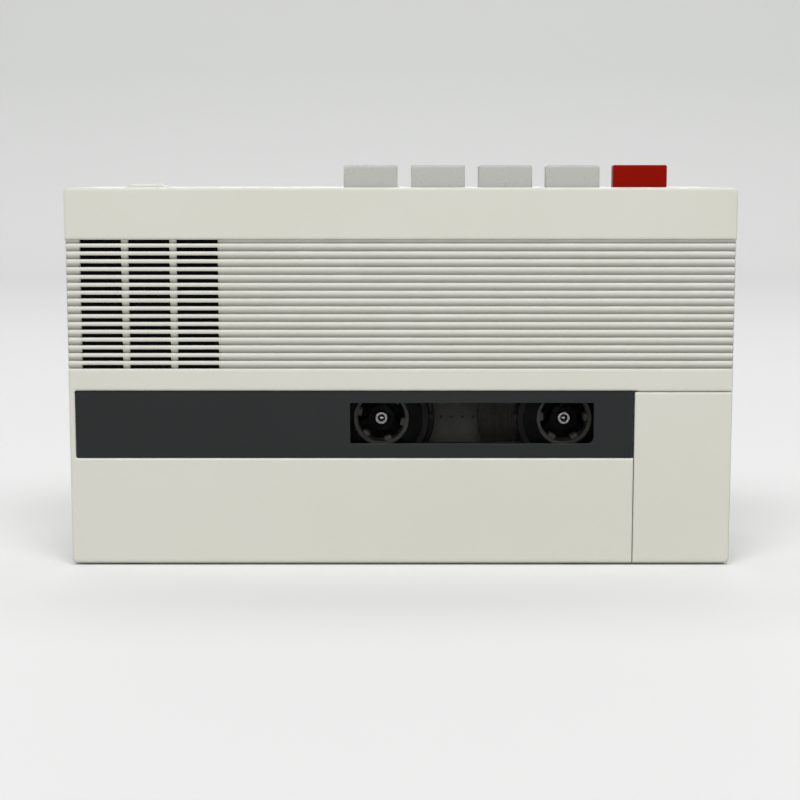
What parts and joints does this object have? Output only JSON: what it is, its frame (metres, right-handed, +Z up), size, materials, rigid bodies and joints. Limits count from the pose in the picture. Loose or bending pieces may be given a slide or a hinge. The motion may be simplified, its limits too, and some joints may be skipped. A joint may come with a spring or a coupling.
{
  "type": "portable cassette recorder",
  "caption": "Upright portable cassette recorder with a ribbed hinged cassette lid, dark window strip, top keys, volume slider and battery hatch.",
  "frame": {"origin": "middle of the base that stands on the table", "axes": "+X to the right seen from the front, +Y to the back, +Z up"},
  "size_m": [0.15, 0.046, 0.0907],
  "materials": {
    "case_white": "fine satin moulding in warm off-white",
    "strip_grey": "smooth dark grey sheet",
    "smoked_window": "smoked clear plastic",
    "black_cloth": "black woven sound cloth",
    "spring_steel": "bright spring steel",
    "cassette_black": "fine-grained black moulding",
    "hub_white": "smooth dark hub moulding",
    "tape_brown": "wound magnetic tape",
    "screw_steel": "bright plated screw",
    "deck_steel": "zinc-plated sheet steel",
    "spindle_black": "black moulding",
    "brass": "turned brass",
    "shaft_steel": "ground and polished shaft",
    "belt_rubber": "black rubber",
    "head_metal": "polished head shield",
    "erase_black": "black cast block",
    "key_grey": "satin light grey moulding",
    "key_red": "satin orange-red moulding",
    "cone_paper": "black pressed paper",
    "magnet_iron": "dark sintered magnet",
    "cell_jacket": "plain painted jacket with no print",
    "board_brown": "brown laminate board"
  },
  "bodies": {
    "case": {"main_case": "case_white", "rear_cover": "case_white", "latch_clip": "spring_steel", "deck_plate": "deck_steel", "deck_screws": "screw_steel", "capstan_bearing": "brass", "motor_can": "deck_steel", "motor_bracket": "deck_steel", "key_bracket": "deck_steel", "cassette_front": "cassette_black", "cassette_back": "cassette_black", "cassette_windows": "smoked_window", "cassette_screws": "screw_steel", "volume_pot": "spindle_black", "speaker_basket": "deck_steel", "speaker_cone": "cone_paper", "speaker_magnet": "magnet_iron", "battery_box": "spindle_black", "battery_cells": "cell_jacket", "battery_contacts": "spring_steel", "circuit_board": "board_brown", "board_components": "spindle_black", "case_screws": "screw_steel", "drive_belt": "belt_rubber", "takeup_belt": "belt_rubber", "spring_rewind": "spring_steel", "spring_play": "spring_steel", "spring_forward": "spring_steel", "spring_stop": "spring_steel", "spring_record": "spring_steel"},
    "lid": {"cassette_lid": "case_white", "hinge_pins": "spring_steel", "window_strip": "strip_grey", "window_lens": "smoked_window", "speaker_screen": "black_cloth"},
    "release": {"lid_release": "case_white", "release_posts": "spring_steel", "release_clips": "spring_steel"},
    "battery_door": {"battery_cover": "case_white"},
    "rewind": {"key_rewind": "key_grey"},
    "play": {"key_play": "key_grey"},
    "forward": {"key_forward": "key_grey"},
    "stop": {"key_stop": "key_grey"},
    "record": {"key_record": "key_red"},
    "volume": {"volume_knob": "case_white"},
    "capstan": {"flywheel": "brass", "capstan_shaft": "shaft_steel"},
    "motor_rotor": {"motor_pulley": "brass"},
    "takeup": {"takeup_spindle": "spindle_black", "takeup_pulley": "spindle_black", "hub_takeup": "hub_white", "tape_takeup": "tape_brown"},
    "supply": {"supply_spindle": "spindle_black", "hub_supply": "hub_white", "tape_supply": "tape_brown"},
    "head_slide": {"head_plate": "deck_steel", "tape_head": "head_metal", "erase_head": "erase_black"},
    "roller_arm": {"pinch_arm": "deck_steel"},
    "roller": {"pinch_roller": "belt_rubber"}
  },
  "joints": [
    {"name": "lid_hinge", "type": "hinge", "parent": "case", "child": "lid", "pos_m": [0, -0.0204, 0.006], "axis": [1, 0, 0], "range_deg": [0, 78]},
    {"name": "release_press", "type": "slide", "parent": "lid", "child": "release", "axis": [0, 1, 0], "range_m": [0, 0.0015], "stiffness_N_per_m": 600},
    {"name": "battery_door_slide", "type": "slide", "parent": "case", "child": "battery_door", "axis": [-1, 0, 0], "range_m": [0, 0.058]},
    {"name": "rewind_press", "type": "slide", "parent": "case", "child": "rewind", "axis": [0, 0, -1], "range_m": [0, 0.0035], "stiffness_N_per_m": 800, "deforming": ["spring_rewind"]},
    {"name": "play_press", "type": "slide", "parent": "case", "child": "play", "axis": [0, 0, -1], "range_m": [0, 0.0035], "stiffness_N_per_m": 800, "deforming": ["spring_play"]},
    {"name": "forward_press", "type": "slide", "parent": "case", "child": "forward", "axis": [0, 0, -1], "range_m": [0, 0.0035], "stiffness_N_per_m": 800, "deforming": ["spring_forward"]},
    {"name": "stop_press", "type": "slide", "parent": "case", "child": "stop", "axis": [0, 0, -1], "range_m": [0, 0.0035], "stiffness_N_per_m": 800, "deforming": ["spring_stop"]},
    {"name": "record_press", "type": "slide", "parent": "case", "child": "record", "axis": [0, 0, -1], "range_m": [0, 0.0035], "stiffness_N_per_m": 800, "deforming": ["spring_record"]},
    {"name": "volume_slide", "type": "slide", "parent": "case", "child": "volume", "axis": [1, 0, 0], "range_m": [0, 0.025]},
    {"name": "capstan_spin", "type": "hinge", "parent": "case", "child": "capstan", "pos_m": [-0.0008, 0, 0.0606], "axis": [0, 1, 0], "continuous": true},
    {"name": "motor_spin", "type": "hinge", "parent": "case", "child": "motor_rotor", "pos_m": [0.052, 0, 0.017], "axis": [0, 1, 0], "continuous": true},
    {"name": "takeup_spin", "type": "hinge", "parent": "case", "child": "takeup", "pos_m": [-0.0045, 0, 0.0322], "axis": [0, 1, 0], "continuous": true},
    {"name": "supply_spin", "type": "hinge", "parent": "case", "child": "supply", "pos_m": [0.038, 0, 0.0322], "axis": [0, 1, 0], "continuous": true},
    {"name": "head_slide", "type": "slide", "parent": "case", "child": "head_slide", "axis": [0, 0, -1], "range_m": [0, 0.003]},
    {"name": "roller_arm_swing", "type": "hinge", "parent": "case", "child": "roller_arm", "pos_m": [-0.0145, 0, 0.0735], "axis": [0, 1, 0], "range_deg": [0, 24]},
    {"name": "roller_spin", "type": "hinge", "parent": "roller_arm", "child": "roller", "pos_m": [0.00075, 0, 0.0732], "axis": [0, 1, 0], "continuous": true}
  ],
  "couplings": [
    {"joint": "motor_spin", "follows": "capstan_spin", "ratio": 4.2333},
    {"joint": "takeup_spin", "follows": "capstan_spin", "ratio": 0.6494},
    {"joint": "supply_spin", "follows": "capstan_spin", "ratio": 0.4026},
    {"joint": "head_slide", "follows": "play_press", "ratio": 0.85714},
    {"joint": "roller_arm_swing", "follows": "play_press", "rad_per_m": 119.68}
  ]
}
